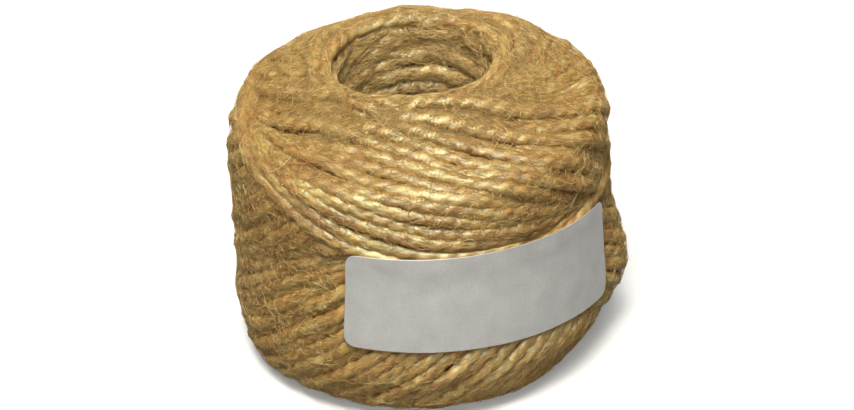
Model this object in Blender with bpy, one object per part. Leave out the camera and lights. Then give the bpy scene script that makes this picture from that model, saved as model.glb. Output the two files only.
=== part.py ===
"""A ball of jute twine with a plain paper label, at its real size in metres.

The ball stands on z = 0 with its winding axis upright, and -Y faces the viewer. Azimuth 0 is the
front of the ball, and it grows to the viewer's right. The twine is wound round a bore that runs
right through. The last windings lie on the upper half as a band whose turns fall to the right
across the front, and below it the earlier windings rise to the right.
"""
import bmesh
import bpy
import numpy as np

MM = 0.001

# The ball's driving dimensions, in millimetres
WAIST_RADIUS = 50.0
BALL_HEIGHT = 81.0
WAIST_HEIGHT = 0.45 * BALL_HEIGHT
LIP_RADIUS = 22.0
BORE_RADIUS = 18.5
AXIS_X = -1.3  # the bulge and the label put the middle of the box this far off the axis
AXIS_Y = 0.5

# The turned section outside: shares of the waist's radius and of the ball's height
OUTSIDE = (
    # radius, height
    (0.530, 0.000),  # flat spot, inner edge
    (0.835, 0.000),  # flat spot, outer edge
    (0.955, 0.060),  # lower shoulder
    (1.010, 0.180),
    (1.000, 0.360),  # waist
    (0.985, 0.520),
    (0.985, 0.680),
    (0.960, 0.800),  # upper shoulder
    (0.925, 0.835),
    (0.740, 0.892),
    (0.565, 0.964),
)
# The hollow: shares of the step from the bore's radius to the lip's, and of the ball's height
INSIDE = (
    # radius step, height
    (1.00, 0.995),  # crest of the lip
    (0.60, 0.975),
    (0.25, 0.915),
    (0.06, 0.820),
    (0.00, 0.700),
    (0.00, 0.220),
    (0.10, 0.110),
    (0.50, 0.020),
)
ROUNDING = 5.0  # the section's corners are rounded over this length
FINE_STEP = 0.25  # spacing of the points that the rounding is worked out on
OUTSIDE_ROW = 3.1  # spacing of the mesh rows along the section
INSIDE_ROW = 5.0
COLUMNS = 96
SHARP_ANGLE = np.radians(50.0)

# Windings: each ridge stands for four turns of twine side by side
TWINE = 3.4
RIDGE_PITCH = 4 * TWINE
RIDGE_HEIGHT = 1.4
LIFT_HEIGHT = 5.0  # the relief dies out over this height above the flat spot
MOUTH_DEPTH = 12.0  # and over this length inside the lip

# The band of last windings, tilted round the axis
BAND_STEP = 1.2
BAND_STEP_WIDTH = 5.0
BAND_EDGE_HEIGHT = 47.0
BAND_EDGE_SWING = 10.0
BAND_EDGE_CREST = -75.0  # azimuth where the band's lower edge is highest, in degrees
BAND_SWING = 26.0  # how far its turns rise and fall round the ball
BAND_CREST = -40.0
BAND_LEVEL_HEIGHT = 40.0  # the swing dies out from here up to the lip
UNDER_SLOPE = 38.0  # rise of the earlier windings to the right, in degrees

# Where the ball is fuller or slacker than its turned section
BULGES = (
    # azimuth, height, half width in degrees, half height, rise
    (79.0, 24.0, 21.0, 18.0, 3.3),
    (-65.0, 4.0, 50.0, 13.0, 1.2),
    (62.0, 3.0, 40.0, 9.0, -1.5),
    (150.0, 40.0, 50.0, 24.0, 0.8),
    (120.0, 85.0, 45.0, 22.0, 3.2),  # upper shoulder, right and left
    (-120.0, 84.0, 48.0, 22.0, 2.0),
    (98.0, 70.0, 40.0, 22.0, 1.2),
    (0.0, 98.0, 100.0, 16.0, 1.8),  # front of the lip, where the last turns cross
)

# The paper label, in millimetres and degrees
LABEL_WIDTH = 78.5
LABEL_HEIGHT = 27.3
LABEL_CORNER = 3.0
LABEL_AZIMUTH = 20.9
LABEL_CENTRE = 34.2
LABEL_TILT = -3.8
LABEL_THICKNESS = 1.0
LABEL_GAP = 0.35
LABEL_COLUMNS = 26
LABEL_CORNER_COLUMNS = 4
LABEL_ROWS = 7


def clear_scene():
    for thing in list(bpy.data.objects):
        bpy.data.objects.remove(thing, do_unlink=True)


def ease(value, low, high):
    """0 below low, 1 above high and a soft step between them."""
    share = np.clip((value - low) / (high - low), 0.0, 1.0)
    return share * share * (3.0 - 2.0 * share)


class Section:
    """The ball's closed turned section, which the windings' relief stands on."""

    def __init__(self):
        corners = [(radius * WAIST_RADIUS, height * BALL_HEIGHT) for radius, height in OUTSIDE]
        for share, height in INSIDE:
            radius = BORE_RADIUS + share * (LIP_RADIUS - BORE_RADIUS)
            corners.append((radius, height * BALL_HEIGHT))
        corners = np.array(corners + corners[:1])
        sides = np.hypot(*np.diff(corners, axis=0).T)
        corner_along = np.concatenate([[0.0], np.cumsum(sides)])
        self.length = corner_along[-1]
        self.lip = corner_along[len(OUTSIDE)]

        # The straight-sided section is averaged along itself, which rounds its corners.
        count = round(self.length / FINE_STEP)
        self.along = np.linspace(0.0, self.length, count + 1)
        window = round(ROUNDING / FINE_STEP)
        path = []
        for values in corners.T:
            sharp = np.interp(self.along[:-1], corner_along, values)
            moved = [np.roll(sharp, step - window // 2) for step in range(window)]
            path.append(np.mean(moved, axis=0))
        self.radius, self.height = [np.append(values, values[0]) for values in path]

        # The normal, which points out of the twine: its outward and its upward share.
        ahead = np.roll(path, -1, axis=1)
        behind = np.roll(path, 1, axis=1)
        along_radius, along_height = (ahead - behind) / np.hypot(*(ahead - behind))
        self.out = np.append(along_height, along_height[0])
        self.up = -np.append(along_radius, along_radius[0])

        # Levels are lengths up the side that agree with heights at the waist.
        side = self.along < self.lip
        self.foot = np.interp(WAIST_HEIGHT, self.height[side], self.along[side]) - WAIST_HEIGHT

    def rows(self):
        """Lengths along the section of the mesh rows, closer together outside than in the hollow."""
        outside = np.arange(0.0, self.lip, OUTSIDE_ROW)
        inside = np.linspace(self.lip, self.length, round((self.length - self.lip) / INSIDE_ROW) + 1)
        return np.concatenate([outside, inside[:-1]])

    def points(self, azimuth, along, lift):
        """World points of the section turned to the azimuths and raised off it by lift."""
        radius = np.interp(along, self.along, self.radius)
        radius = radius + lift * np.interp(along, self.along, self.out)
        height = np.interp(along, self.along, self.height)
        height = height + lift * np.interp(along, self.along, self.up)
        right = radius * np.sin(azimuth) + AXIS_X
        back = -radius * np.cos(azimuth) + AXIS_Y
        return MM * np.stack([right, back, np.maximum(height, 0.0)], axis=-1)


def band_share(azimuth, level):
    """1 where the last windings cover the ball and 0 below their band."""
    edge = BAND_EDGE_HEIGHT + BAND_EDGE_SWING * np.cos(azimuth - np.radians(BAND_EDGE_CREST))
    return ease(level, edge - BAND_STEP_WIDTH / 2, edge + BAND_STEP_WIDTH / 2)


def fullness(azimuth, level):
    """How far the middle of the ridges stands off the turned section."""
    lift = BAND_STEP * (band_share(azimuth, level) - 0.5)
    for centre, height, half_width, half_height, rise in BULGES:
        turn = np.angle(np.exp(1j * (azimuth - np.radians(centre))))
        reach = np.hypot(turn / np.radians(half_width), (level - height) / half_height)
        lift = lift + rise * (1.0 - ease(reach, 0.0, 1.0))
    return lift


def ridges(azimuth, level, lip_level):
    """The main windings between -1 and 1, in the band and below it."""
    swing = BAND_SWING * (1.0 - ease(level, BAND_LEVEL_HEIGHT, lip_level))
    turns = (level - swing * np.cos(azimuth - np.radians(BAND_CREST))) / RIDGE_PITCH
    slope = np.radians(UNDER_SLOPE)
    count = round(2 * np.pi * WAIST_RADIUS * np.sin(slope) / RIDGE_PITCH)
    under = count * azimuth - 2 * np.pi * level * np.cos(slope) / RIDGE_PITCH
    share = band_share(azimuth, level)
    return share * np.cos(2 * np.pi * turns) + (1.0 - share) * np.cos(under)


def principled(name, colour, roughness, sheen):
    material = bpy.data.materials.new(name)
    material.use_nodes = True
    shader = material.node_tree.nodes["Principled BSDF"]
    shader.inputs["Base Color"].default_value = (*colour, 1.0)
    shader.inputs["Roughness"].default_value = roughness
    shader.inputs["Metallic"].default_value = 0.0
    shader.inputs["Sheen Weight"].default_value = sheen
    material.diffuse_color = (*colour, 1.0)
    return material


def grid_object(name, points, round_rows, round_columns, material):
    """An object from a grid of points, its rows and its columns closed on themselves or not."""
    rows, columns = points.shape[:2]
    shape = bmesh.new()
    corners = [[shape.verts.new(point) for point in row] for row in points]
    for row in range(rows if round_rows else rows - 1):
        lower = corners[row]
        upper = corners[(row + 1) % rows]
        for column in range(columns if round_columns else columns - 1):
            right = (column + 1) % columns
            shape.faces.new((lower[column], lower[right], upper[right], upper[column]))
    mesh = bpy.data.meshes.new(name)
    shape.to_mesh(mesh)
    shape.free()
    mesh.shade_smooth()
    mesh.set_sharp_from_angle(angle=SHARP_ANGLE)
    mesh.materials.append(material)
    thing = bpy.data.objects.new(name, mesh)
    bpy.context.scene.collection.objects.link(thing)
    return thing


def make_ball(section):
    """The wound ball: the turned section raised into its band and its main windings."""
    turns = np.arange(COLUMNS) * 2 * np.pi / COLUMNS
    along, azimuth = np.meshgrid(section.rows(), turns, indexing="ij")
    level = along - section.foot
    height = np.interp(along, section.along, section.height)
    off_floor = ease(height, 0.0, LIFT_HEIGHT)
    in_mouth = ease(along, section.lip, section.lip + MOUTH_DEPTH)
    ridge = RIDGE_HEIGHT / 2 * ridges(azimuth, level, section.lip - section.foot)
    lift = off_floor * (1.0 - in_mouth) * (fullness(azimuth, level) + ridge)
    jute = principled("jute_twine", (0.46, 0.31, 0.13), 0.85, 0.3)
    return grid_object("twine_ball", section.points(azimuth, along, lift), True, True, jute)


def make_label(section):
    """The label's sheet, rounded at its corners and laid over the crests of the windings."""
    straight = LABEL_WIDTH / 2 - LABEL_CORNER
    corner_turn = np.linspace(0.0, np.pi / 2, LABEL_CORNER_COLUMNS + 1)[1:]
    end = straight + LABEL_CORNER * np.sin(corner_turn)
    middle = np.linspace(-straight, straight, LABEL_COLUMNS + 1)
    across = np.concatenate([-end[::-1], middle, end])
    into_corner = np.clip(np.abs(across) - straight, 0.0, LABEL_CORNER)
    half_height = LABEL_HEIGHT / 2 - LABEL_CORNER + np.sqrt(LABEL_CORNER**2 - into_corner**2)
    upward = np.linspace(-1.0, 1.0, LABEL_ROWS + 1)[:, None] * half_height

    tilt = np.radians(LABEL_TILT)
    to_right = across * np.cos(tilt) - upward * np.sin(tilt)
    level = LABEL_CENTRE + across * np.sin(tilt) + upward * np.cos(tilt)
    azimuth = np.radians(LABEL_AZIMUTH) + to_right / WAIST_RADIUS
    lift = fullness(azimuth, level) + RIDGE_HEIGHT / 2 + LABEL_GAP
    points = section.points(azimuth, level + section.foot, lift)
    paper = principled("label_paper", (0.72, 0.72, 0.74), 0.45, 0.0)
    label = grid_object("paper_label", points, False, False, paper)
    thickness = label.modifiers.new("thickness", "SOLIDIFY")
    thickness.thickness = LABEL_THICKNESS * MM
    thickness.offset = 1.0
    return label


def main():
    clear_scene()
    section = Section()
    make_ball(section)
    make_label(section)


main()
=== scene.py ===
# %% [markdown]
# # A ball of jute twine
# The object is a barrel-shaped ball of two-ply jute twine, about 100 mm across, that stands on
# its end. A machine wound it round a spindle, so a bore runs right through it, and a paper label
# lies on its side. This lesson lays every turn that shows as real twisted geometry, then adds the
# stray fibres, the label, the floor, the light and the camera.
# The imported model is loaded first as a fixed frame: it says where each piece has to be.

import bpy
import numpy as np
from mathutils import Matrix, Vector


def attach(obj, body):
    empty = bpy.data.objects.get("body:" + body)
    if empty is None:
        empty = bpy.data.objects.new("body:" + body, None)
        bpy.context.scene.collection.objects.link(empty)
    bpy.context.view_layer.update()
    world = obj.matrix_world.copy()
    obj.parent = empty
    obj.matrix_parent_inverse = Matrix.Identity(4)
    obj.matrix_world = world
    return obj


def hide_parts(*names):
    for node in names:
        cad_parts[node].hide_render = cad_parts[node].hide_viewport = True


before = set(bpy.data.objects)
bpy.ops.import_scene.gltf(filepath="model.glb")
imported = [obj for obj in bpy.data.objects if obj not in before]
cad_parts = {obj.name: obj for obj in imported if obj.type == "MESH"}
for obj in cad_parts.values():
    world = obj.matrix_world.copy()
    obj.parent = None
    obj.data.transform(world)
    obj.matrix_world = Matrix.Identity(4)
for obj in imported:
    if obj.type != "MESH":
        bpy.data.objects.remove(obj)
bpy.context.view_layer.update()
MM = 0.001

# %% [markdown]
# ## Small helpers
# Colours are picked as sRGB hex values, as from a paint chart, but shaders work in linear light,
# so one function turns one into the other. Two more add a shader node and fill its sockets. A
# fourth makes a mesh object from arrays, which is far quicker than adding a hundred thousand
# faces one by one. The last is a soft step, used all through.

# %% Helpers
def linear(hex_colour):
    """An sRGB hex colour as the linear red, green, blue and alpha that shaders take."""
    parts = [int(hex_colour[start:start + 2], 16) / 255 for start in (0, 2, 4)]
    parts = [part / 12.92 if part <= 0.04045 else ((part + 0.055) / 1.055) ** 2.4 for part in parts]
    return parts + [1.0]


def plug(tree, node, links):
    """Fills a node's sockets, each with a value or with another node's socket."""
    for name, value in links.items():
        if isinstance(value, bpy.types.NodeSocket):
            tree.links.new(value, node.inputs[name])
        else:
            node.inputs[name].default_value = value


def add_node(tree, kind, links=None, **settings):
    """Adds a node with its sockets filled and its properties set."""
    node = tree.nodes.new(kind)
    for name, value in settings.items():
        setattr(node, name, value)
    plug(tree, node, links or {})
    return node


def mesh_object(name, points, quads, tris, material, uv=None, crest=None):
    """A smooth-shaded mesh object from arrays: points in mm, faces as rows of point numbers."""
    mesh = bpy.data.meshes.new(name)
    corners = np.concatenate([quads.ravel(), tris.ravel()]).astype(np.int32)
    sizes = np.concatenate([np.full(len(quads), 4), np.full(len(tris), 3)]).astype(np.int32)
    mesh.vertices.add(len(points))
    mesh.vertices.foreach_set("co", (points * MM).astype(np.float32).ravel())
    mesh.loops.add(len(corners))
    mesh.loops.foreach_set("vertex_index", corners)
    mesh.polygons.add(len(sizes))
    starts = np.concatenate([[0], np.cumsum(sizes)[:-1]]).astype(np.int32)
    mesh.polygons.foreach_set("loop_start", starts)
    if uv is not None:
        layer = mesh.uv_layers.new(name="along_and_round")
        layer.uv.foreach_set("vector", uv.astype(np.float32).ravel())
    if crest is not None:
        layer = mesh.attributes.new("ply_crest", "FLOAT", "POINT")
        layer.data.foreach_set("value", crest.astype(np.float32))
    mesh.update(calc_edges=True)
    mesh.shade_smooth()
    mesh.materials.append(material)
    piece = bpy.data.objects.new(name, mesh)
    bpy.context.scene.collection.objects.link(piece)
    return piece


def ease(value, low, high):
    """0 below low, 1 above high and a soft step between them."""
    share = np.clip((value - low) / (high - low), 0.0, 1.0)
    return share * share * (3.0 - 2.0 * share)


print("Linear value of mid grey 808080:", round(linear("808080")[0], 3))

# %% [markdown]
# ## The camera
# The picture looks down on the ball at 32.7 degrees from 0.85 m away through a long lens, so the
# ball is hardly foreshortened. The camera leans a little, as a hand-held one does. A long lens is
# set by its focal length, and the lens below is that of a frame 36 mm wide.

# %% Camera
BALL_AXIS = Vector((-1.3, 0.5, 0.0)) * MM
AIM = BALL_AXIS + Vector((1.4, 0.0, 35.2)) * MM
DISTANCE = 846 * MM
ELEVATION = np.radians(32.7)
LEAN = np.radians(-3.4)
LENS = 136.7
FRAME_WIDTH = 36.0

camera = bpy.data.objects.new("camera", bpy.data.cameras.new("camera"))
bpy.context.scene.collection.objects.link(camera)
ahead = Vector((0.0, np.cos(ELEVATION), -np.sin(ELEVATION)))
upright = Vector((0.0, np.sin(ELEVATION), np.cos(ELEVATION)))
sideways = Vector((1.0, 0.0, 0.0))
image_right = sideways * np.cos(LEAN) + upright * np.sin(LEAN)
image_up = upright * np.cos(LEAN) - sideways * np.sin(LEAN)
turn = Matrix((image_right, image_up, -ahead)).transposed().to_4x4()
camera.matrix_world = Matrix.Translation(AIM - ahead * DISTANCE) @ turn
camera.data.lens = LENS
camera.data.sensor_width = FRAME_WIDTH
camera.data.clip_start = 0.05
camera.data.clip_end = 20.0
bpy.context.scene.camera = camera
print("Camera at", [round(value, 3) for value in camera.matrix_world.translation])

# %% [markdown]
# ## The form of the wound ball
# The twine is wound on a turned form: one closed section swept round the axis, from the flat spot
# under the ball, up its side, over the shoulder to the lip and down through the bore. A place on
# the ball is then two numbers, the azimuth round the axis and the length along the section, and
# every turn of twine can be drawn as a line in that flat chart. Azimuth 0 faces the camera.
# The chart repeats in both directions, which makes it easy to work with as a plain grid.
# No wound ball is quite round. A short table of soft bulges makes it fuller on the lower right, at
# the shoulders and at the front of the lip, and slacker at the foot on the right.

# %% The turned section
WAIST_RADIUS = 50.0
BALL_HEIGHT = 81.0
LIP_RADIUS = 22.0
BORE_RADIUS = 18.5
OUTSIDE = (
    # share of the waist's radius, share of the ball's height
    (0.530, 0.000),  # flat spot, inner edge
    (0.835, 0.000),  # flat spot, outer edge
    (0.955, 0.060),
    (1.010, 0.180),
    (1.000, 0.360),  # waist
    (0.985, 0.520),
    (0.985, 0.680),
    (0.960, 0.800),  # shoulder
    (0.925, 0.835),
    (0.740, 0.892),
    (0.565, 0.964),
)
INSIDE = (
    # share of the step from the bore to the lip, share of the ball's height
    (1.00, 0.995),  # lip
    (0.60, 0.975),
    (0.25, 0.915),
    (0.06, 0.820),
    (0.00, 0.700),
    (0.00, 0.220),
    (0.10, 0.110),
    (0.50, 0.020),
)
ROUNDING = 5.0  # mm along the section that its corners are rounded over
CELL = 0.5  # mm between the chart's rows
WAIST_HEIGHT = 0.45 * BALL_HEIGHT  # where a length up the side is the same as a height
BULGES = (
    # azimuth, height up the side, half width in degrees, half height in mm, rise in mm
    (80.0, 24.0, 17.0, 18.0, 3.3),  # beside the label's right end
    (-65.0, 4.0, 50.0, 13.0, 1.2),
    (62.0, 5.0, 42.0, 13.0, -2.2),  # slack foot on the right
    (150.0, 40.0, 50.0, 24.0, 0.8),
    (120.0, 85.0, 45.0, 22.0, 3.8),  # right shoulder
    (-120.0, 84.0, 48.0, 22.0, 2.6),  # left shoulder
    (98.0, 70.0, 40.0, 22.0, 1.8),
    (180.0, 92.0, 45.0, 18.0, 1.0),
    (0.0, 98.0, 100.0, 16.0, 2.2),  # front of the lip, where the last turns pile up
)

section = [(radius * WAIST_RADIUS, height * BALL_HEIGHT) for radius, height in OUTSIDE]
for share, height in INSIDE:
    section.append((BORE_RADIUS + share * (LIP_RADIUS - BORE_RADIUS), height * BALL_HEIGHT))
section = np.array(section + section[:1])
section_sides = np.hypot(*np.diff(section, axis=0).T)
section_along = np.concatenate([[0.0], np.cumsum(section_sides)])
SECTION_LENGTH = section_along[-1]
LIP = section_along[len(OUTSIDE)]
ROWS = round(SECTION_LENGTH / CELL)
row_along = np.arange(ROWS) * SECTION_LENGTH / ROWS


def rounded(values):
    """The section's values on the chart's rows, averaged over the rounding length."""
    sharp = np.interp(row_along, section_along, values)
    window = round(ROUNDING / CELL)
    return np.mean([np.roll(sharp, step - window // 2) for step in range(window)], axis=0)


row_radius, row_height = rounded(section[:, 0]), rounded(section[:, 1])
row_step = [np.roll(values, -1) - np.roll(values, 1) for values in (row_radius, row_height)]
row_step = np.array(row_step) / np.hypot(*row_step)
row_out, row_up = row_step[1], -row_step[0]
side_rows = row_along < LIP
FOOT = np.interp(WAIST_HEIGHT, row_height[side_rows], row_along[side_rows]) - WAIST_HEIGHT
LIP_LEVEL = LIP - FOOT
print(f"Section {SECTION_LENGTH:.0f} mm round, lip {LIP_LEVEL:.1f} mm up the side, {ROWS} rows")


# %% Places on the chart
def on_rows(row_values, level):
    """A row table read at levels: lengths up the side that agree with heights at the waist."""
    return np.interp((level + FOOT) % SECTION_LENGTH, np.append(row_along, SECTION_LENGTH),
                     np.append(row_values, row_values[0]))


def fullness(azimuth, level):
    """How far the ball bulges past its turned section, in mm."""
    lift = np.zeros(np.broadcast(azimuth, level).shape)
    for centre, height, half_width, half_height, rise in BULGES:
        turned = np.angle(np.exp(1j * (azimuth - np.radians(centre))))
        reach = np.hypot(turned / np.radians(half_width), (level - height) / half_height)
        lift = lift + rise * (1.0 - ease(reach, 0.0, 1.0))
    return lift


def place(azimuth, level, lift):
    """Points in mm at places on the chart, raised off the form by lift."""
    lift = lift + fullness(azimuth, level)
    radius = on_rows(row_radius, level) + lift * on_rows(row_out, level)
    height = on_rows(row_height, level) + lift * on_rows(row_up, level)
    points = np.stack([radius * np.sin(azimuth), -radius * np.cos(azimuth), height], axis=-1)
    return points + np.array(BALL_AXIS) / MM


waist_front = place(np.zeros(1), np.full(1, WAIST_HEIGHT), np.zeros(1))[0]
print("The front of the waist lies at", waist_front.round(1), "mm")

# %% [markdown]
# ## How the turns lie
# The machine tilts the ball as it winds, so every turn is a tilted loop: it climbs one side,
# passes close to the lip, and falls down the other side. Between turns the ball rotates a little,
# so neighbouring turns lie side by side and older ones cross under them. A turn's line on the
# chart is close to a cosine. Listed in the order in which they are wound, what shows is made of
# - a few flat rings under the foot,
# - crossing turns that reach the lip, whose crests creep right round the ball,
# - lower crossing turns, whose crests creep the other way,
# - rings down the bore, where the inner layers show their edges,
# - a fan of turns that pass beside the hole and cross the top, and
# - the last band over the front, which falls to the right.
# The band is what the eye follows, so a table gives its crest and swing at several levels.
# Each turn could be drawn by hand, but a rule with a little seeded wander stays readable.

# %% The turns as lines on the chart
SAMPLES = 1080  # points in a turn
TURN_WOBBLE = 0.5  # mm that an earlier turn strays from its line
BAND_WOBBLE = 0.35  # mm that a last turn strays
SWING_SPREAD = 0.03  # share by which the last turns' swings differ
rng = np.random.default_rng(7)
turn_azimuth = np.arange(SAMPLES) * 2 * np.pi / SAMPLES - np.pi


def wander(size, waves):
    """A smooth periodic wobble of about this size, made of a few random waves round the ball."""
    total = np.zeros(SAMPLES)
    for wave in waves:
        phase = rng.uniform(0, 2 * np.pi)
        total += rng.normal(0, size / np.sqrt(len(waves))) * np.cos(wave * turn_azimuth + phase)
    return total


def tilted_turn(middle, swing, crest):
    """A loop that swings up and down about a level, highest at the crest's azimuth in degrees."""
    wobble = wander(TURN_WOBBLE, (2, 3, 5, 8, 12))
    return middle + swing * np.cos(turn_azimuth - np.radians(crest)) + wobble


BAND = np.array((
    # level in the middle of the front, azimuth of the crest, swing in mm, bend in mm
    (45.0, -112.0, 12.0, 4.0),
    (50.0, -100.0, 12.0, 4.0),
    (54.0, -90.0, 13.0, 3.0),
    (60.0, -70.0, 15.0, 1.5),
    (66.5, -50.0, 17.0, 0.0),
    (69.0, -47.0, 22.5, 0.0),
    (74.2, -30.0, 33.0, 0.0),
    (79.5, -33.0, 28.0, 0.0),
    (84.0, -27.0, 33.0, 0.0),
    (88.6, -16.0, 38.0, 0.0),
    (93.4, 8.0, 39.0, 0.0),
))
BEND_CREST = np.radians(-100.0)  # the band's lowest turns fall steeply on the left, then level out


def band_turn(middle_level):
    """A last turn, by its level in the middle of the front."""
    crest, swing, bend = (np.interp(middle_level, BAND[:, 0], column) for column in BAND[:, 1:].T)
    crest, swing = np.radians(crest), swing * rng.normal(1.0, SWING_SPREAD)
    rise = swing * (np.cos(turn_azimuth - crest) - np.cos(crest))
    rise += bend * (np.cos(2 * (turn_azimuth - BEND_CREST)) - np.cos(2 * BEND_CREST))
    return middle_level + rise + wander(BAND_WOBBLE, (2, 3, 5, 9, 13))


print("The band follows", len(BAND), "rows, and a turn has", SAMPLES, "points")

# %% [markdown]
# With the two rules in hand, the turns are listed from the first to the last. Levels and swings
# are in millimetres, crests in degrees of azimuth.

# %% All the turns, from the first to the last
FOOT_LEVELS = (-18.0, -15.0, -12.0)
FOOT_SWING = 1.0
HIGH_COUNT = 60
HIGH_MIDDLE, HIGH_SWING = 38.0, 55.0
LOW_COUNT = 56
LOW_CREST = -35.0  # where the lower turns begin and end
LOW_SWING, LOW_SWING_GROWTH = 32.3, 11.0
LOW_TROUGH = -14.0  # the level that they all dip to
BORE_PITCH = 2.4
BORE_SWING = 0.6
BORE_START = 6.0  # how far below the lip, on the outside, the bore's rings begin
FAN_CRESTS = range(60, -41, -5)
FAN_MIDDLE, FAN_SWING = 55.0, 38.5
BAND_TOP, BAND_FOOT = 94.0, 45.0
BAND_PITCH = 3.55

turns = []
for level in FOOT_LEVELS:
    turns.append(("crossing", tilted_turn(level, FOOT_SWING, 0.0)))
for number in range(HIGH_COUNT):
    crest = -180.0 + 360.0 * number / HIGH_COUNT
    turns.append(("crossing", tilted_turn(HIGH_MIDDLE, HIGH_SWING, crest)))
for number in range(LOW_COUNT):
    crest = LOW_CREST - 360.0 * number / LOW_COUNT
    swing = LOW_SWING + LOW_SWING_GROWTH * (1.0 - np.cos(np.radians(crest - LOW_CREST))) / 2
    turns.append(("crossing", tilted_turn(swing + LOW_TROUGH, swing, crest)))
for level in np.arange(SECTION_LENGTH - FOOT, LIP_LEVEL - BORE_START, -BORE_PITCH):
    turns.append(("bore", tilted_turn(level, BORE_SWING, rng.uniform(-180.0, 180.0))))
for crest in FAN_CRESTS:
    turns.append(("last", tilted_turn(FAN_MIDDLE, FAN_SWING, crest)))
for level in np.arange(BAND_TOP, BAND_FOOT, -BAND_PITCH):
    turns.append(("last", band_turn(level)))
print(len(turns), "turns, of which", sum(kind == "last" for kind, line in turns), "lie last")

# %% [markdown]
# ## Laying the turns down
# A simulation of 100 m of twine in contact would be slow and hard to steer, so a rule lays it. The
# twine is soft and wound tight, so a turn keeps level with the form and presses down the earlier
# turns that it crosses. So the turns are taken from the last back to the first. A map of the
# chart's cells remembers what the later turns cover. The more of a turn's width they cover, the
# deeper it is pressed, and smoothing gives it some stiffness. The meshes still run into each
# other where turns meet, out of sight.

# %% Helpers for laying
COLUMNS = 640  # the chart's columns, about half a millimetre apart at the waist
HALF_WIDTH = 1.85  # mm, of a turn pressed flat
HALF_THICKNESS = 1.25
SPREAD = np.linspace(-1.75, 1.75, 13)  # places across a turn's width
ARCH = HALF_THICKNESS * np.sqrt(1.0 - (SPREAD / HALF_WIDTH) ** 2)
PRESS = 1.7  # mm that a turn lies deeper where later ones cover it
FULL_PRESS = 0.8  # share of its width that has to be covered for that
UNEVEN = 0.12  # mm that a turn's height varies by itself
STIFF = 4.5  # samples that its bends are smoothed over


def cells(azimuth, level):
    """Row and column numbers of places on the chart."""
    column = np.round((azimuth + np.pi) * COLUMNS / (2 * np.pi)).astype(int) % COLUMNS
    row = np.round((level + FOOT) * ROWS / SECTION_LENGTH).astype(int) % ROWS
    return row, column


def smooth_round(values, sigma):
    """Values in a closed ring, smoothed by a bell of this width in samples."""
    bell = np.exp(-2 * (np.pi * sigma * np.fft.rfftfreq(values.shape[-1])) ** 2)
    return np.fft.irfft(np.fft.rfft(values) * bell, values.shape[-1])


def footprint(level):
    """The chart cells under a turn's width, and the angle it runs at, at each sample."""
    radius = on_rows(row_radius, level)
    slope = np.gradient(level, turn_azimuth) / radius
    lean = np.hypot(1.0, slope)
    across = SPREAD[:, None]
    row, column = cells(turn_azimuth - across * slope / lean / radius, level + across / lean)
    return row, column, np.arctan(slope)


print(f"The chart has {ROWS} by {COLUMNS} cells, and a turn is {np.ptp(SPREAD)} mm wide on it")

# %% Laying the turns
covered = np.zeros((ROWS, COLUMNS), bool)
pile = np.full((ROWS, COLUMNS), -PRESS)  # how high the twine's surface lies
grain = np.zeros((ROWS, COLUMNS))  # which way the topmost twine runs, as an angle from level
cover = [None] * len(turns)
heights = [None] * len(turns)
for number, (kind, level) in reversed(list(enumerate(turns))):
    row, column, angle = footprint(level)
    under = covered[row, column]
    cover[number] = under.mean(axis=0)
    sunk = PRESS * smooth_round(ease(cover[number], 0.0, FULL_PRESS), STIFF)
    heights[number] = wander(UNEVEN, (7, 11, 17, 26)) - sunk
    np.maximum.at(pile, (row, column), heights[number] + ARCH[:, None])
    grain[row[~under], column[~under]] = np.broadcast_to(angle, row.shape)[~under]
    covered[row, column] = True
print(f"Twine covers {covered.mean():.0%} of the form")
print(f"Its surface is {np.ptp(pile):.1f} mm deep from the highest crest to the lowest gap")

# %% [markdown]
# ## Which lengths of the turns show
# Most of the twine is buried. A length is kept where the later turns leave some of its width
# bare, with a few millimetres more at each end, so that it goes out of sight under the next turn
# instead of stopping in view. Twine deep under the label is dropped too, and the label presses
# the turns beside it down, easing out past its edge. A turn that shows all the way round is
# closed into a ring, so that it has no end to hide.

# %% Where the label lies
LABEL_WIDTH = 78.5
LABEL_HEIGHT = 27.3
LABEL_CORNER = 3.0
LABEL_AZIMUTH = np.radians(20.9)
LABEL_CENTRE = 35.6  # the level of its middle
LABEL_TILT = np.radians(-3.8)
LABEL_BOW = 1.0  # mm that its middle lies above the line between its ends
LABEL_LIFT = 0.5  # mm from the form to the paper's inner side
PRESSED = LABEL_LIFT - 1.7  # the highest that a turn's middle may lie under the paper
EASE_FROM, EASE_TO = 0.5, 6.0  # mm past the label's edge where turns rise to their own height
EASE_RISE = 4.0  # mm, more than any turn rises
HIDDEN_MARGIN = 5.0  # mm inside the label's edge where turns are dropped


def bowed(along):
    """How far the label's middle line lies above a straight one, in mm."""
    return LABEL_BOW * (1.0 - (2.0 * along / LABEL_WIDTH) ** 2)


def on_label(azimuth, level):
    """Places on the chart as distances in mm along and up the label, from its middle."""
    along = (azimuth - LABEL_AZIMUTH) * WAIST_RADIUS
    up = level - LABEL_CENTRE
    turn_cos, turn_sin = np.cos(LABEL_TILT), np.sin(LABEL_TILT)
    along, up = along * turn_cos + up * turn_sin, up * turn_cos - along * turn_sin
    return along, up - bowed(along)


def pressed(azimuth, level, lift):
    """Lifts with the turns under the label pressed down."""
    along, up = on_label(azimuth, level)
    outside = np.hypot(np.maximum(np.abs(along) - LABEL_WIDTH / 2, 0.0),
                       np.maximum(np.abs(up) - LABEL_HEIGHT / 2, 0.0))
    return np.minimum(lift, PRESSED + EASE_RISE * ease(outside, EASE_FROM, EASE_TO))


def under_label(level):
    """True at the samples of a turn that the label hides for good."""
    along, up = on_label(turn_azimuth, level)
    beside = np.abs(along) < LABEL_WIDTH / 2 - HIDDEN_MARGIN
    return beside & (np.abs(up) < LABEL_HEIGHT / 2 - HIDDEN_MARGIN)


print("The label takes", LABEL_WIDTH, "by", LABEL_HEIGHT, "mm")


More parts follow.
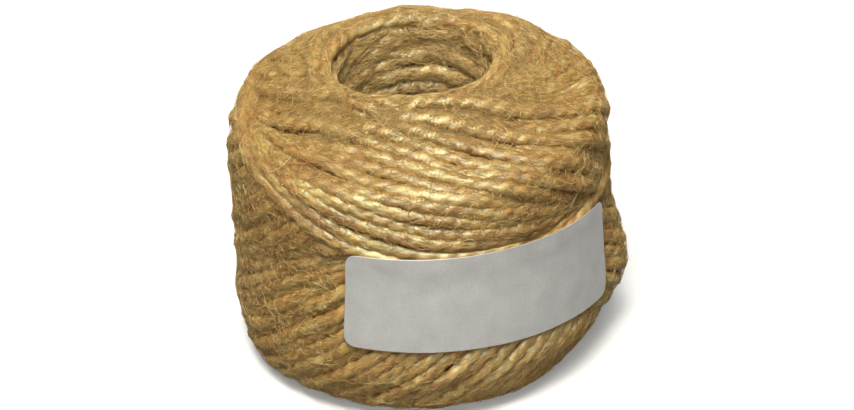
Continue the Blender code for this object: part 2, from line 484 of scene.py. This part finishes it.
# %% The lengths that show
def ring_runs(flags):
    """First sample and length of every run of True in a closed ring."""
    if flags.all():
        return [(0, len(flags))]
    first = np.argmin(flags)
    rolled = np.concatenate([[0], np.roll(flags, -first).astype(int), [0]])
    starts, ends = np.where(np.diff(rolled) == 1)[0], np.where(np.diff(rolled) == -1)[0]
    return [(start + first, end - start) for start, end in zip(starts, ends)]


BARE = 0.15  # share of its width that a turn shows at least
GROW = 12  # samples added at each end of a length
SHORTEST = 3  # samples; anything shorter before it is grown is not worth keeping
END_RUN = 10  # samples over which an end dips
END_DIP = 1.2  # mm
SINK = 1.3  # mm that the turns' middles lie under the form
lengths = {"crossing": [], "last": [], "bore": []}
for (kind, level), height, hidden in zip(turns, heights, cover):
    grown = np.zeros(SAMPLES, bool)
    for start, count in ring_runs((hidden < 1.0 - BARE) & ~under_label(level)):
        if count >= SHORTEST:
            grown[np.arange(start - GROW, start + count + GROW) % SAMPLES] = True
    for start, count in ring_runs(grown):
        closed = count == SAMPLES
        count += closed
        pick = np.arange(start, start + count) % SAMPLES
        lift = pressed(turn_azimuth, level, height - SINK)[pick]
        if not closed:
            to_end = np.minimum(np.arange(count), np.arange(count)[::-1])
            lift = lift - END_DIP * (1.0 - ease(to_end, 0, END_RUN))
        lengths[kind].append((np.unwrap(turn_azimuth[pick]), level[pick], lift, closed))
for kind, found in lengths.items():
    print(kind, len(found), "lengths")

# %% [markdown]
# ## The twine itself
# Jute twine like this is two plies twisted round each other. Its outline at any point is two
# circles side by side, a figure of eight, and that outline turns steadily along the length. A
# curve with a bevel can't turn its profile, and a real pair of plies would double the faces, so
# the figure of eight is swept here in arrays. The plies climb to the right on a level strand.
# Wound twine is pressed a little flat, and it isn't even: its thickness and the length of its
# twist vary slowly along it. The outline carries two things for the material, the length along the
# twine and the angle round it as UVs, and a point attribute that is 1 on a ply's crest, which the
# material paints lighter than the groove.

# %% The figure of eight
PLY_RADIUS = 1.72
PLY_OFFSET = 0.36  # from the twine's middle to a ply's middle
SIDES = 10
round_angle = np.arange(SIDES) * 2 * np.pi / SIDES
figure_eight = (PLY_OFFSET * np.abs(np.cos(round_angle))
                + np.sqrt(PLY_RADIUS**2 - (PLY_OFFSET * np.sin(round_angle)) ** 2))
ply_crest = (figure_eight - figure_eight.min()) / np.ptp(figure_eight)
print(f"Twine {2 * figure_eight.max():.1f} mm wide")

# %% Sweeping it
LAY = 9.2  # mm along the twine in a full twist
LAY_SPREAD, LAY_RUN = 0.07, 24  # share by which it varies, and over how many outlines
THICKNESS_SPREAD, THICKNESS_RUN = 0.045, 9
FLATTEN = 0.74  # thickness of the pressed twine as a share of its width
STEP = 0.95  # mm between the outlines
SPOOL = 4000.0  # mm of shade pattern, on which each length starts at random


def outward(azimuth, level):
    """The direction straight out of the form."""
    out, up = on_rows(row_out, level), on_rows(row_up, level)
    return np.stack([out * np.sin(azimuth), -out * np.cos(azimuth), up], axis=-1)


def slow_noise(count, size, spacing):
    """A smooth random line with a new random value every so many points. It ends as it begins."""
    knots = rng.normal(0.0, size, count // spacing + 3)
    at = np.linspace(0, len(knots), count)
    return np.interp(at, np.arange(len(knots)), knots, period=len(knots))


def sweep(azimuth, level, lift, closed):
    """Points, quads, triangles, corner UVs and crests of a length of twine or of a closed ring."""
    path = place(azimuth, level, lift)
    run = np.concatenate([[0.0], np.cumsum(np.linalg.norm(np.diff(path, axis=0), axis=1))])
    count = max(4, round(run[-1] / STEP) + 1)
    at = np.linspace(0.0, run[-1], count)
    azimuth, level, lift = (np.interp(at, run, values) for values in (azimuth, level, lift))
    path, out = place(azimuth, level, lift), outward(azimuth, level)
    ahead = np.gradient(path, axis=0)
    twist = np.cumsum(2 * np.pi * STEP / (LAY * (1.0 + slow_noise(count, LAY_SPREAD, LAY_RUN))))
    twist -= twist[0]
    if closed:  # the last outline is the first one again, so it has to be turned the same way
        ahead[[0, -1]] = ahead[0] + ahead[-1]
        twist *= 2 * np.pi * round(twist[-1] / (2 * np.pi)) / twist[-1]
    twist += rng.uniform(0, 2 * np.pi)
    side = np.cross(ahead, out)
    side /= np.linalg.norm(side, axis=1, keepdims=True)
    out = np.cross(side, ahead)
    out /= np.linalg.norm(out, axis=1, keepdims=True)
    angle = twist[:, None] + round_angle
    reach = figure_eight * (1.0 + slow_noise(count, THICKNESS_SPREAD, THICKNESS_RUN))[:, None]
    points = (path[:, None] + side[:, None] * (reach * np.cos(angle))[..., None]
              + out[:, None] * (reach * np.sin(angle) * FLATTEN)[..., None])
    outlines = count - 1 if closed else count
    grid = np.arange(count)[:, None] % outlines * SIDES + np.arange(SIDES)
    beside = np.roll(grid, -1, axis=1)
    quads = np.stack([grid[:-1], grid[1:], beside[1:], beside[:-1]], axis=-1).reshape(-1, 4)
    tags = rng.uniform(0.0, 1.0) * SPOOL + at
    rounds = twist[:, None] + np.arange(SIDES + 1) * 2 * np.pi / SIDES
    uv_grid = np.stack([np.broadcast_to(tags[:, None], rounds.shape), rounds], axis=-1)
    uv = np.stack([uv_grid[:-1, :-1], uv_grid[1:, :-1], uv_grid[1:, 1:], uv_grid[:-1, 1:]], axis=2)
    ends = () if closed else (grid[0], grid[-1, ::-1])
    caps = [(end[0], end[step], end[step + 1]) for end in ends for step in range(1, SIDES - 1)]
    caps = np.array(caps, int).reshape(-1, 3)
    cap_uv = np.repeat(uv_grid[0, :1], caps.size, axis=0)
    crest = np.broadcast_to(ply_crest, (outlines, SIDES)).ravel()
    uv = np.concatenate([uv.reshape(-1, 2), cap_uv])
    return points[:outlines].reshape(-1, 3), quads, caps, uv, crest


print(f"One twist in {LAY} mm, one outline in {STEP} mm")

# %% [markdown]
# ## Jute
# Jute is a plant fibre of tan, honey and straw shades, spun without much combing, so its shade
# changes every few millimetres. Its fibres lie along the twine, so fine streaks run over those
# shades. The streaks are also painted lighter on a ply's crest than in the groove between the
# plies: painted light on the crest and painted shade in the groove. Two noises make the two, and
# the streaks are multiplied on the shades. Both are drawn in the twine's own coordinates, the
# length along it and the angle round it, so they follow every bend.
# The finish is that of a dry, silky fibre: dull, with a wide soft shine that is pale yellow where
# a ply catches the light. Light also sinks into the loose outer fibres and comes out near by,
# which softens the shade in the grooves. A fine bump from the streaks gives the fibres an edge.

# %% Helpers for materials
def shade_steps(tree, factor, steps):
    """A colour ramp through (position, hex colour) steps."""
    ramp = add_node(tree, "ShaderNodeValToRGB", links={"Fac": factor})
    elements = ramp.color_ramp.elements
    while len(elements) < len(steps):
        elements.new(0.5)
    for element, (position, colour) in zip(elements, steps):
        element.position = position
        element.color = linear(colour)
    return ramp.outputs["Color"]


def new_material(name):
    """A material with its node tree and its surface shader."""
    material = bpy.data.materials.new(name)
    material.use_nodes = True
    tree = material.node_tree
    return material, tree, tree.nodes["Principled BSDF"]


# %% The twine's own coordinates, and noise along them
jute, tree, surface = new_material("spun_jute")
chart = add_node(tree, "ShaderNodeUVMap", uv_map="along_and_round").outputs["UV"]
parts = add_node(tree, "ShaderNodeSeparateXYZ", links={"Vector": chart}).outputs
cosine = add_node(tree, "ShaderNodeMath", operation="COSINE", links={0: parts["Y"]}).outputs[0]
sine = add_node(tree, "ShaderNodeMath", operation="SINE", links={0: parts["Y"]}).outputs[0]
fibre_place = add_node(tree, "ShaderNodeCombineXYZ",
                       links={"X": parts["X"], "Y": cosine, "Z": sine}).outputs["Vector"]
TWINE_ROUND = 1.3  # mm from the twine's middle to its surface, all round about
FIBRE_LENGTH = 4.0  # mm that a streak keeps its shade
FIBRE_GRAIN = 0.30  # mm across a bundle of fibres; one fibre is too fine to show
TONE_LENGTH, TONE_WIDTH = 9.0, 3.25  # mm over which the shade of the fibres changes


def along_twine(length, width, detail, roughness):
    """Noise whose grains are this long and wide on the twine, in mm."""
    across = TWINE_ROUND / width
    place_on_twine = add_node(tree, "ShaderNodeVectorMath", operation="MULTIPLY",
                              links={0: fibre_place, 1: (1 / length, across, across)})
    noise = add_node(tree, "ShaderNodeTexNoise", links={
        "Vector": place_on_twine.outputs[0], "Scale": 1.0, "Detail": detail, "Roughness": roughness})
    return noise.outputs["Fac"]


streaks = along_twine(FIBRE_LENGTH, FIBRE_GRAIN, 4.0, 0.65)
tones = along_twine(TONE_LENGTH, TONE_WIDTH, 3.0, 0.6)
print("Streaks", FIBRE_GRAIN, "mm wide, shades", TONE_WIDTH, "mm wide")

# %% Spun jute
tone = shade_steps(tree, tones, (
    (0.32, "9d6325"),  # tan
    (0.45, "b78238"),  # honey
    (0.56, "c89f51"),  # straw
    (0.70, "e3c986"),  # bleached
))
# A ply's crest is painted lighter than its groove: painted light on the crest, painted shade in the
# groove.
crest = add_node(tree, "ShaderNodeAttribute", attribute_name="ply_crest").outputs["Fac"]
CREST_PAINTED_LIGHT = 0.10  # how far up the shades a ply's crest lies from its groove
streaks_with_crest_light = add_node(tree, "ShaderNodeMath", operation="MULTIPLY_ADD",
                    links={0: crest, 1: CREST_PAINTED_LIGHT, 2: streaks}).outputs[0]
streak_tone_with_crest_light = shade_steps(tree, streaks_with_crest_light, (
    (0.34, "b2b2b2"),  # between the fibres
    (0.56, "e4e4e4"),
    (0.68, "ffffff"),  # on them
))
colour = add_node(tree, "ShaderNodeMix", data_type="RGBA", blend_type="MULTIPLY",
                  links={"Factor": 1.0, 6: tone, 7: streak_tone_with_crest_light}).outputs[2]
fibre_relief = add_node(tree, "ShaderNodeBump",
                        links={"Height": streaks, "Strength": 0.65, "Distance": 0.25 * MM})
plug(tree, surface, {
    "Base Color": colour,
    "Roughness": 0.56,  # dry fibre with a silky skin
    "Specular IOR Level": 0.5,
    "Specular Tint": linear("f0ffdc"),  # the shine takes the fibre's colour
    "Sheen Weight": 0.02,  # the down of fibre ends too fine to model
    "Sheen Roughness": 0.5,
    "Sheen Tint": linear("e8d2a0"),
    "Subsurface Weight": 0.45,  # the loose outer fibres pass light on
    "Subsurface Radius": (1.0, 1.0, 0.8),
    "Subsurface Scale": 1.1 * MM,
    "Normal": fibre_relief.outputs["Normal"],
})
print("Jute has", len(tree.nodes), "nodes")

# %% [markdown]
# ## The turns as pieces
# The lengths are swept and joined into a piece for each kind of turn. A piece past the limit is
# split, so that each can still be opened and edited. No point goes below the floor: the lowest
# turns come out flat there, as the ball's own weight makes them.

# %% The wound twine
MOST_TRIANGLES = 186_000
LOWEST = 0.02  # mm above the floor


def twine_piece(name, swept):
    """One piece from swept lengths, riding on the ball's body."""
    first = np.cumsum([0] + [len(length[0]) for length in swept])
    points = np.concatenate([length[0] for length in swept])
    quads = np.concatenate([length[1] + start for length, start in zip(swept, first)])
    caps = np.concatenate([length[2] + start for length, start in zip(swept, first)])
    quad_uv = np.concatenate([length[3][:length[1].size] for length in swept])
    cap_uv = np.concatenate([length[3][length[1].size:] for length in swept])
    points[:, 2] = np.maximum(points[:, 2], LOWEST)
    crest = np.concatenate([length[4] for length in swept])
    piece = mesh_object(name, points, quads, caps, jute, np.concatenate([quad_uv, cap_uv]), crest)
    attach(piece, "root")
    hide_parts("twine_ball")
    print(f"{name}: {len(swept)} lengths, {2 * len(quads) + len(caps)} triangles")


for kind, found in lengths.items():
    batch, triangles, number = [], 0, 1
    for path in found:
        length = sweep(*path)
        more = 2 * len(length[1]) + len(length[2])
        if triangles + more > MOST_TRIANGLES:
            twine_piece(f"{kind}_turns_{number}", batch)
            batch, triangles, number = [], 0, number + 1
        batch.append(length)
        triangles += more
    twine_piece(f"{kind}_turns_{number}", batch)

# %% [markdown]
# ## The wound mass inside
# Between the turns that show there are gaps, and behind a gap there is more twine, in deep shade.
# Sweeping the buried lengths too would triple the faces. A closed skin a few millimetres down
# stops the light and takes the same jute material with its colour multiplied darker: painted
# shade, added to the real shade it lies in. It needs no twist, as only slivers of it show, in shade.

# %% The mass inside
CORE_DEPTH = 2.7  # mm under the form
CORE_COLUMNS = 144
CORE_ROWS = 80
CORE_LOWEST = 0.3  # mm above the floor
CORE_CELL = (2.2, 4.4)  # how far the material's two coordinates run over a cell


def painted_shade_copy(material, name, darkening):
    """The same finish with painted shade: its colour is multiplied down."""
    copy = material.copy()
    copy.name = name
    nodes = copy.node_tree
    shader = nodes.nodes["Principled BSDF"]
    plain = shader.inputs["Base Color"].links[0].from_socket
    shade = add_node(nodes, "ShaderNodeMix", data_type="RGBA", blend_type="MULTIPLY",
                     links={"Factor": 1.0, 6: plain, 7: linear(darkening)})
    plug(nodes, shader, {"Base Color": shade.outputs[2]})
    return copy


core_azimuth = np.arange(CORE_COLUMNS) * 2 * np.pi / CORE_COLUMNS
core_level = np.arange(CORE_ROWS)[:, None] * SECTION_LENGTH / CORE_ROWS - FOOT
core_points = place(core_azimuth, core_level, np.full((CORE_ROWS, CORE_COLUMNS), -CORE_DEPTH))
core_points[..., 2] = np.maximum(core_points[..., 2], CORE_LOWEST)
grid = np.arange(CORE_ROWS * CORE_COLUMNS).reshape(CORE_ROWS, CORE_COLUMNS)
above, beside = np.roll(grid, -1, axis=0), np.roll(grid, -1, axis=1)
core_quads = np.stack([grid, beside, np.roll(above, -1, axis=1), above], axis=-1).reshape(-1, 4)
core_uv = np.stack([core_quads % CORE_COLUMNS, core_quads // CORE_COLUMNS], axis=-1) * CORE_CELL
# The skin's colour is multiplied by 9a7a4e: painted shade.
core = mesh_object("wound_core", core_points.reshape(-1, 3), core_quads, np.zeros((0, 3), int),
                   painted_shade_copy(jute, "spun_jute_painted_shade", "9a7a4e"), core_uv.reshape(-1, 2))
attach(core, "root")
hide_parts("twine_ball")
print("Core has", len(core_quads), "faces")

# %% [markdown]
# ## Stray fibres
# Jute sheds, and its loose fibres mat together over the turns. Most of them are short and lie
# along the twine or cross from one turn to the next; some more gather on the lip and in the bore,
# where hands and the winding rub, and a few long ones stand off in an arch. Blender's hair would
# do, but the exported model keeps only meshes. Blender's hair is not used: each fibre is a closed
# sliver with three sides and a point at both ends. It starts in the grain of the topmost turn,
# strays by a random angle and follows the height map of the turns from crest to crest. Short ones
# have one bend, which costs six triangles, and long ones have several. A table gives each batch
# its numbers. Every fibre has one shade, from tan to bleached; the fibres in the bore keep to the
# paler shades, which is painted light in the bore's shade.

# %% Stray fibres
FIBRE_SIDES = 3
FIBRE_FOOT = -8.0  # the lowest level with loose fibres, just above the flat spot
FIBRE_TOP = LIP_LEVEL + 22.0  # the highest, a little way down the bore
FIBRES = (
    # piece, how many, points along it, shortest and longest in mm, radius in mm, how high its middle
    # arches in mm, how far its heading strays from the turn's in radians, lowest and highest level,
    # darkest shade, which the bore's fibres keep high as painted light in the bore's shade
    ("lying_fibres", 20000, 3, 1.8, 5.5, 0.07, 0.15, 0.35, FIBRE_FOOT, FIBRE_TOP, 0.0),
    ("crossing_fibres", 22000, 3, 1.8, 5.5, 0.065, 0.20, 1.0, FIBRE_FOOT, FIBRE_TOP, 0.0),
    ("lip_fibres", 9000, 3, 2.0, 6.0, 0.06, 0.25, 0.6, LIP_LEVEL - 14.0, LIP_LEVEL, 0.2),
    # The bore's fibres only take the paler shades: painted light in the bore's shade.
    ("bore_fibres", 20000, 3, 2.0, 5.0, 0.07, 0.20, 0.4, LIP_LEVEL, LIP_LEVEL + 60.0, 0.6),
    ("stray_fibres", 3600, 6, 4.0, 12.0, 0.06, 0.5, 0.8, FIBRE_FOOT, FIBRE_TOP, 0.0),
)
BEND = 0.28  # radians that a fibre bends at each point, always the same way
CRINKLE = 0.2  # radians that it turns at random there
LEAST_STAND = 0.2  # share of the arch that every fibre has
THINNEST, THICKEST = 0.6, 1.3  # shares of the radius
RESTING = 0.1  # mm between the turns' surface and a fibre's middle
FIBRE_LOWEST = 0.2  # mm above the floor
LABEL_CLEARANCE = 1.0  # mm that fibres keep from the label

print(sum(row[1] for row in FIBRES), "fibres in", len(FIBRES), "batches")


# %% Making a batch of fibres
def read(chart_values, azimuth, level):
    """Chart values between the cells."""
    column = (azimuth + np.pi) * COLUMNS / (2 * np.pi)
    row = (level + FOOT) * ROWS / SECTION_LENGTH
    left, low = np.floor(column).astype(int), np.floor(row).astype(int)
    across, up = column - left, row - low
    total = 0.0
    for step_up, share_up in ((0, 1 - up), (1, up)):
        for step_across, share_across in ((0, 1 - across), (1, across)):
            value = chart_values[(low + step_up) % ROWS, (left + step_across) % COLUMNS]
            total = total + value * share_up * share_across
    return total


def fibre_batch(count, knots, shortest, longest, radius, arch, stray, lowest, highest):
    """Points of this many fibres, each with its first point, its rings and its last point."""
    azimuth = rng.uniform(-np.pi, np.pi, count)
    level = rng.uniform(lowest, highest, 4 * count)
    roomy = rng.uniform(0.0, 1.05 * WAIST_RADIUS, 4 * count) < on_rows(row_radius, level)
    level = level[roomy][:count]  # as dense near the bore as on the side
    step = rng.uniform(shortest, longest, count) / (knots - 1)
    heading = grain[cells(azimuth, level)] + rng.normal(0.0, stray, count)
    heading += np.pi * rng.integers(0, 2, count)
    bend = rng.normal(0.0, BEND, count)
    path = []
    for number in range(knots):
        path.append((azimuth, level))
        azimuth = azimuth + step * np.cos(heading) / on_rows(row_radius, level)
        level = level + step * np.sin(heading)
        heading = heading + bend + rng.normal(0.0, CRINKLE, count)
    azimuth, level = np.transpose(path, (1, 2, 0))
    share = np.linspace(0.0, 1.0, knots)
    stand = rng.uniform(LEAST_STAND, 1.0, (count, 1)) * arch * np.sin(np.pi * share)
    lift = read(pile, azimuth, level)
    lift = np.maximum(lift, lift.mean(axis=1, keepdims=True))
    points = place(azimuth, level, lift - SINK + RESTING + stand)
    points[..., 2] = np.maximum(points[..., 2], FIBRE_LOWEST)
    ahead = np.gradient(points, axis=1)
    ahead /= np.linalg.norm(ahead, axis=-1, keepdims=True)
    side = np.cross(ahead, outward(azimuth, level))
    side /= np.linalg.norm(side, axis=-1, keepdims=True)
    up = np.cross(side, ahead)
    turn_round = (np.arange(FIBRE_SIDES) * 2 * np.pi / FIBRE_SIDES)[:, None]
    ring = side[:, :, None] * np.cos(turn_round) + up[:, :, None] * np.sin(turn_round)
    thickness = radius * rng.uniform(THINNEST, THICKEST, (count, 1, 1, 1))
    rings = (points[:, :, None] + ring * thickness)[:, 1:-1].reshape(count, -1, 3)
    fibres = np.concatenate([points[:, :1], rings, points[:, -1:]], axis=1)
    along, rise = on_label(azimuth, level)
    beside = np.abs(along) > LABEL_WIDTH / 2 + LABEL_CLEARANCE
    beyond = np.abs(rise) > LABEL_HEIGHT / 2 + LABEL_CLEARANCE
    return fibres[(beside | beyond).all(axis=1)]


def fibre_faces(knots):
    """Quads between the rings of a fibre, and the triangles that close its two ends."""
    sides = np.arange(FIBRE_SIDES)
    beside = (sides + 1) % FIBRE_SIDES
    start = 1 + np.arange(knots - 3)[:, None] * FIBRE_SIDES
    quads = np.stack([start + sides, start + FIBRE_SIDES + sides, start + FIBRE_SIDES + beside,
                      start + beside], axis=-1).reshape(-1, 4)
    last = 1 + (knots - 2) * FIBRE_SIDES
    first_tip = np.stack([np.zeros_like(sides), 1 + sides, 1 + beside], axis=-1)
    last_tip = np.stack([np.full_like(sides, last), last - 1 - sides, last - 1 - beside], axis=-1)
    return quads, np.concatenate([first_tip, last_tip])


print("A short fibre has", len(fibre_faces(3)[1]), "faces")

# %% [markdown]
# ## Loose fibre
# A loose fibre is the same jute without its down, so it is a touch paler and more matt than the
# twine. It is too thin to show streaks: one shade a fibre gives the mat its fine speckle. The
# shade is kept in the fibre's first UV coordinate.

# %% Loose jute fibre
loose, tree, surface = new_material("loose_jute_fibre")
chart = add_node(tree, "ShaderNodeUVMap", uv_map="along_and_round").outputs["UV"]
tone = add_node(tree, "ShaderNodeSeparateXYZ", links={"Vector": chart}).outputs["X"]
colour = shade_steps(tree, tone, (
    (0.00, "a06e2b"),  # tan
    (0.50, "c99f56"),  # straw
    (1.00, "e9cf90"),  # bleached
))
plug(tree, surface, {"Base Color": colour, "Roughness": 0.6, "Specular IOR Level": 0.25,
                     "Specular Tint": linear("f4ffd4")})
print("Loose fibre has", len(tree.nodes), "nodes")

# %% The fibres as pieces
for name, count, knots, *sizes, darkest in FIBRES:
    batch = fibre_batch(count, knots, *sizes)
    starts = np.arange(len(batch))[:, None, None] * batch.shape[1]
    quads, tips = ((faces + starts).reshape(-1, faces.shape[1]) for faces in fibre_faces(knots))
    shade = rng.uniform(darkest, 1.0, len(batch))
    shade = np.concatenate([np.repeat(shade, faces.size // len(batch)) for faces in (quads, tips)])
    stray = mesh_object(name, batch.reshape(-1, 3), quads, tips, loose,
                        np.stack([shade, np.zeros_like(shade)], axis=-1))
    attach(stray, "root")
    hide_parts("twine_ball")
    print(f"{name}: {len(batch)} fibres, {2 * len(quads) + len(tips)} triangles")

# %% [markdown]
# ## The label
# A plain white paper label lies over the turns, tilted with them and bowed a little along its
# length. Paper bends one way easily and hardly stretches, so it bridges from crest to crest and
# only a share of the turns' relief shows through. Its height is the top of the pile, spread over
# the cells near by and smoothed, less the same height smoothed over a wide area. The sheet is a
# grid whose rows draw in at both ends, which rounds the corners, and Solidify makes it thick.
# The finish is that of smooth white label stock: satin, with a fine grain of pulp and pale clouds
# a few millimetres across, which show more in its shine than in its colour.

# %% The paper label
PAPER = 0.12  # mm thick
LABEL_CELL = 0.7  # mm of the label's grid
LABEL_CORNER_COLUMNS = 6
NEAR_EDGE = 0.99  # a row close to each long edge keeps the edge's shading off the paper's face
BRIDGE = range(-3, 4)  # steps in cells; the paper rests on the highest place within them
DRAPE = 4.0  # cells that its height is smoothed over
WIDE_DRAPE = 5 * DRAPE
RELIEF_SHARE = 0.4  # of the turns' relief that shows through


def smooth_map(values, sigma):
    """A chart of values smoothed both ways."""
    return smooth_round(smooth_round(values, sigma).T, sigma).T


relief = smooth_map(np.max([np.roll(pile, step, 0) for step in BRIDGE], axis=0), DRAPE)
relief = relief - smooth_map(relief, WIDE_DRAPE)

straight = LABEL_WIDTH / 2 - LABEL_CORNER
corner_turn = np.linspace(0.0, np.pi / 2, LABEL_CORNER_COLUMNS + 1)[1:]
end = straight + LABEL_CORNER * np.sin(corner_turn)
middle = np.linspace(-straight, straight, round(2 * straight / LABEL_CELL) + 1)
label_across = np.concatenate([-end[::-1], middle, end])
into_corner = np.clip(np.abs(label_across) - straight, 0.0, LABEL_CORNER)
half_height = LABEL_HEIGHT / 2 - LABEL_CORNER + np.sqrt(LABEL_CORNER**2 - into_corner**2)
label_rows = np.linspace(-1.0, 1.0, round(LABEL_HEIGHT / LABEL_CELL) + 1)
label_rows = np.concatenate([[-1.0, -NEAR_EDGE], label_rows[1:-1], [NEAR_EDGE, 1.0]])
label_up = label_rows[:, None] * half_height
tilt_cos, tilt_sin = np.cos(LABEL_TILT), np.sin(LABEL_TILT)
bowed_up = label_up + bowed(label_across)
label_azimuth = LABEL_AZIMUTH + (label_across * tilt_cos - bowed_up * tilt_sin) / WAIST_RADIUS
label_level = LABEL_CENTRE + label_across * tilt_sin + bowed_up * tilt_cos
label_lift = LABEL_LIFT + RELIEF_SHARE * np.maximum(read(relief, label_azimuth, label_level), 0.0)
label_points = place(label_azimuth, label_level, label_lift)
label_grid = np.arange(label_up.size).reshape(label_up.shape)
label_quads = np.stack([label_grid[:-1, :-1], label_grid[:-1, 1:], label_grid[1:, 1:],
                        label_grid[1:, :-1]], axis=-1).reshape(-1, 4)
flat_uv = np.stack([np.broadcast_to(label_across, label_up.shape), label_up], axis=-1).reshape(-1, 2)
print(f"The paper rises and falls by {np.ptp(label_lift):.2f} mm")

# %% Label paper
paper, tree, surface = new_material("label_paper")
flat = add_node(tree, "ShaderNodeUVMap", uv_map="along_and_round").outputs["UV"]
PULP_GRAIN, CLOUDING = 0.7, 7.0  # mm across the paper's grain and its cloudy patches
grain_noise = add_node(tree, "ShaderNodeTexNoise", links={
    "Vector": flat, "Scale": 1 / PULP_GRAIN, "Detail": 3.0, "Roughness": 0.6}).outputs["Fac"]
cloud_noise = add_node(tree, "ShaderNodeTexNoise", links={
    "Vector": flat, "Scale": 1 / CLOUDING, "Detail": 2.0, "Roughness": 0.5}).outputs["Fac"]
CLOUD_SHARE = 0.55
mottle = add_node(tree, "ShaderNodeMix", data_type="FLOAT",
                  links={0: CLOUD_SHARE, 2: grain_noise, 3: cloud_noise}).outputs[0]
whites = shade_steps(tree, mottle, ((0.35, "bcbcba"), (0.50, "c6c6c4"), (0.65, "cfcfcd")))
satin = add_node(tree, "ShaderNodeMapRange", links={"Value": mottle, "To Min": 0.36, "To Max": 0.52})
tooth = add_node(tree, "ShaderNodeBump",
                 links={"Height": mottle, "Strength": 0.5, "Distance": 0.12 * MM})
plug(tree, surface, {"Base Color": whites, "Roughness": satin.outputs["Result"],
                     "Normal": tooth.outputs["Normal"]})
print("Paper has", len(tree.nodes), "nodes")

# %% The label as a piece
label = mesh_object("label", label_points.reshape(-1, 3), label_quads, np.zeros((0, 3), int), paper,
                    flat_uv[label_quads].reshape(-1, 2))
thickness = label.modifiers.new("thickness", "SOLIDIFY")
thickness.thickness = PAPER * MM
thickness.offset = 1.0
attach(label, "root")
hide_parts("paper_label")
print("Label has", len(label_quads), "faces a side")

# %% [markdown]
# ## Floor and light
# The ball stands on a plain white board. The light is a studio's, from five soft boxes. The key
# light is high in front, a little to the left, and the top light beside it reaches into the bore.
# A small front light near the camera's height opens the shade under the label, and a weak one
# behind keeps the back from going dark. The three in front light matt surfaces alone. The shine
# along the twine comes from a strong box of its own, which shows in glossy reflections alone, so
# that its strength can be set without changing the shades. A faint even sky fills the rest.
# The board is lit a little from within, so it stays white under the ball's soft shadow, and no
# light bounces from it onto the ball, which would wash out the shade at its foot.

# %% The floor
FLOOR_HALF = 4.0  # m
floor_corners = [(-FLOOR_HALF, -FLOOR_HALF, 0), (FLOOR_HALF, -FLOOR_HALF, 0),
                 (FLOOR_HALF, FLOOR_HALF, 0), (-FLOOR_HALF, FLOOR_HALF, 0)]
floor_mesh = bpy.data.meshes.new("floor")
floor_mesh.from_pydata(floor_corners, [], [(0, 1, 2, 3)])
floor = bpy.data.objects.new("floor", floor_mesh)
bpy.context.scene.collection.objects.link(floor)
board, tree, surface = new_material("white_painted_board")
plug(tree, surface, {"Base Color": linear("ececec"), "Roughness": 0.8,
                     "Emission Color": linear("ffffff"), "Emission Strength": 0.15})
floor_mesh.materials.append(board)
floor.visible_diffuse = False
print("Floor is", 2 * FLOOR_HALF, "m wide")

# %% The light
SKY = 0.05
LIT_SPOT = Vector((0.0, 0.0, 0.04))  # m, where the lights point
LIGHTS = (
    # name, place in m, size in m, power in W, colour, lights matt surfaces, shows in glossy ones
    ("key_light", (-0.24, -0.98, 2.35), 0.9, 42.0, "fffbf2", True, False),
    ("top_light", (-0.05, -0.80, 2.20), 1.0, 30.0, "fffdf6", True, False),
    ("sheen_light", (0.0, -1.32, 1.98), 0.7, 600.0, "fffdf6", False, True),
    ("front_light", (0.0, -1.45, 0.95), 0.35, 7.0, "fffbf2", True, False),
    ("back_light", (0.0, 2.2, 1.0), 1.2, 16.0, "ffffff", True, True),
)
for name, spot, size, power, colour, matt, glossy in LIGHTS:
    lamp = bpy.data.objects.new(name, bpy.data.lights.new(name, "AREA"))
    lamp.data.size, lamp.data.energy, lamp.data.color = size, power, linear(colour)[:3]
    lamp.location = spot
    lamp.visible_diffuse, lamp.visible_glossy = matt, glossy
    lamp.rotation_euler = (LIT_SPOT - Vector(spot)).to_track_quat("-Z", "Y").to_euler()
    bpy.context.scene.collection.objects.link(lamp)

world = bpy.data.worlds.new("pale_studio")
world.use_nodes = True
sky = world.node_tree.nodes["Background"]
plug(world.node_tree, sky, {"Color": linear("ffffff"), "Strength": SKY})
bpy.context.scene.world = world
bpy.context.scene.view_settings.view_transform = "Standard"
print(len(LIGHTS), "lights")
